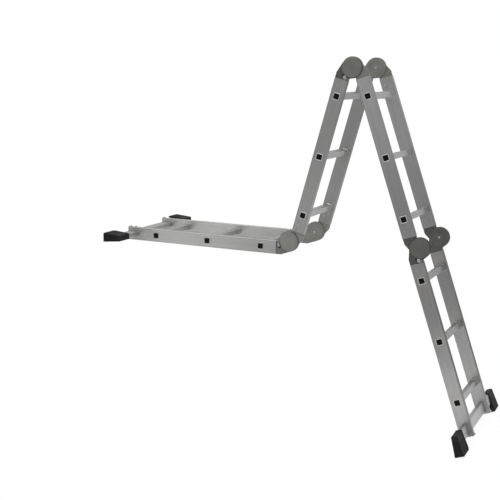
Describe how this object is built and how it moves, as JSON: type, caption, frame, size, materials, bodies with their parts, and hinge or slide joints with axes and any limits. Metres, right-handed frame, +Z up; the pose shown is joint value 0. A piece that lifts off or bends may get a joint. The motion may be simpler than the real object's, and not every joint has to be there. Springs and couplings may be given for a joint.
{
  "type": "multi position ladder",
  "caption": "Folding multi position ladder made of hinged sections with locking hinges, square rungs and wide stabiliser bars, set up for stairs.",
  "frame": {"origin": "middle of the plane on which the level section's two rails rest, midway between the rails and midway along them", "axes": "+Z up, Y along the rungs and the hinge axes, +X from the level section towards the long leg's feet"},
  "size_m": [1.7914, 0.724, 1.6705],
  "materials": {
    "aluminium_rail": "extruded, satin mill finish",
    "aluminium_rung": "extruded, ribbed, satin mill finish",
    "aluminium_bar": "extruded, satin mill finish",
    "hinge_steel": "pressed steel, grey-green paint",
    "zinc_pin": "zinc plated rivet",
    "hinge_cover": "grey-green, fine grain",
    "lock_trigger": "light grey",
    "foot_rubber": "black, moulded"
  },
  "bodies": {
    "section_a": {"rail_a_front": "aluminium_rail", "rail_a_rear": "aluminium_rail", "rung_a1": "aluminium_rung", "rung_a2": "aluminium_rung", "rung_a3": "aluminium_rung", "fork_ab_front": "hinge_steel", "pin_ab_front": "zinc_pin", "cover_ab_front": "hinge_cover", "fork_ab_rear": "hinge_steel", "pin_ab_rear": "zinc_pin", "cover_ab_rear": "hinge_cover", "bar_a": "aluminium_bar", "foot_a_front": "foot_rubber", "foot_a_rear": "foot_rubber"},
    "section_b": {"rail_b_front": "aluminium_rail", "rail_b_rear": "aluminium_rail", "rung_b1": "aluminium_rung", "rung_b2": "aluminium_rung", "rung_b3": "aluminium_rung", "fork_bc_front": "hinge_steel", "pin_bc_front": "zinc_pin", "cover_bc_front": "hinge_cover", "fork_bc_rear": "hinge_steel", "pin_bc_rear": "zinc_pin", "cover_bc_rear": "hinge_cover", "disc_ab_front": "hinge_steel", "disc_ab_rear": "hinge_steel"},
    "section_c": {"rail_c_front": "aluminium_rail", "rail_c_rear": "aluminium_rail", "rung_c1": "aluminium_rung", "rung_c2": "aluminium_rung", "rung_c3": "aluminium_rung", "disc_bc_front": "hinge_steel", "disc_bc_rear": "hinge_steel", "disc_cd_front": "hinge_steel", "disc_cd_rear": "hinge_steel"},
    "section_d": {"rail_d_front": "aluminium_rail", "rail_d_rear": "aluminium_rail", "rung_d1": "aluminium_rung", "rung_d2": "aluminium_rung", "rung_d3": "aluminium_rung", "fork_cd_front": "hinge_steel", "pin_cd_front": "zinc_pin", "cover_cd_front": "hinge_cover", "fork_cd_rear": "hinge_steel", "pin_cd_rear": "zinc_pin", "cover_cd_rear": "hinge_cover", "bar_d": "aluminium_bar", "foot_d_front": "foot_rubber", "foot_d_rear": "foot_rubber"},
    "lock_ab_front": {"lock_ab_front": "lock_trigger"},
    "lock_ab_rear": {"lock_ab_rear": "lock_trigger"},
    "lock_bc_front": {"lock_bc_front": "lock_trigger"},
    "lock_bc_rear": {"lock_bc_rear": "lock_trigger"},
    "lock_cd_front": {"lock_cd_front": "lock_trigger"},
    "lock_cd_rear": {"lock_cd_rear": "lock_trigger"}
  },
  "joints": [
    {"name": "hinge_ab", "type": "hinge", "parent": "section_a", "child": "section_b", "pos_m": [0.4575, 0, 0.064], "axis": [0, 1, 0], "range_deg": [-104.8, 75.2]},
    {"name": "hinge_bc", "type": "hinge", "parent": "section_b", "child": "section_c", "pos_m": [0.73492, 0, 0.85953], "axis": [0, -1, 0], "range_deg": [-34.24, 145.76]},
    {"name": "hinge_cd", "type": "hinge", "parent": "section_c", "child": "section_d", "pos_m": [1.07578, 0, 0.08905], "axis": [0, 1, 0], "range_deg": [-180, 0]},
    {"name": "lock_ab_front_release", "type": "slide", "parent": "section_a", "child": "lock_ab_front", "axis": [-0.9304, 0, -0.3665], "range_m": [0, 0.007], "stiffness_N_per_m": 600, "springref_m": -0.01},
    {"name": "lock_ab_rear_release", "type": "slide", "parent": "section_a", "child": "lock_ab_rear", "axis": [-0.9304, 0, -0.3665], "range_m": [0, 0.007], "stiffness_N_per_m": 600, "springref_m": -0.01},
    {"name": "lock_bc_front_release", "type": "slide", "parent": "section_b", "child": "lock_bc_front", "axis": [-0.592, 0, -0.8059], "range_m": [0, 0.007], "stiffness_N_per_m": 600, "springref_m": -0.01},
    {"name": "lock_bc_rear_release", "type": "slide", "parent": "section_b", "child": "lock_bc_rear", "axis": [-0.592, 0, -0.8059], "range_m": [0, 0.007], "stiffness_N_per_m": 600, "springref_m": -0.01},
    {"name": "lock_cd_front_release", "type": "slide", "parent": "section_d", "child": "lock_cd_front", "axis": [-0.0359, 0, -0.9994], "range_m": [0, 0.007], "stiffness_N_per_m": 600, "springref_m": -0.01},
    {"name": "lock_cd_rear_release", "type": "slide", "parent": "section_d", "child": "lock_cd_rear", "axis": [-0.0359, 0, -0.9994], "range_m": [0, 0.007], "stiffness_N_per_m": 600, "springref_m": -0.01}
  ]
}
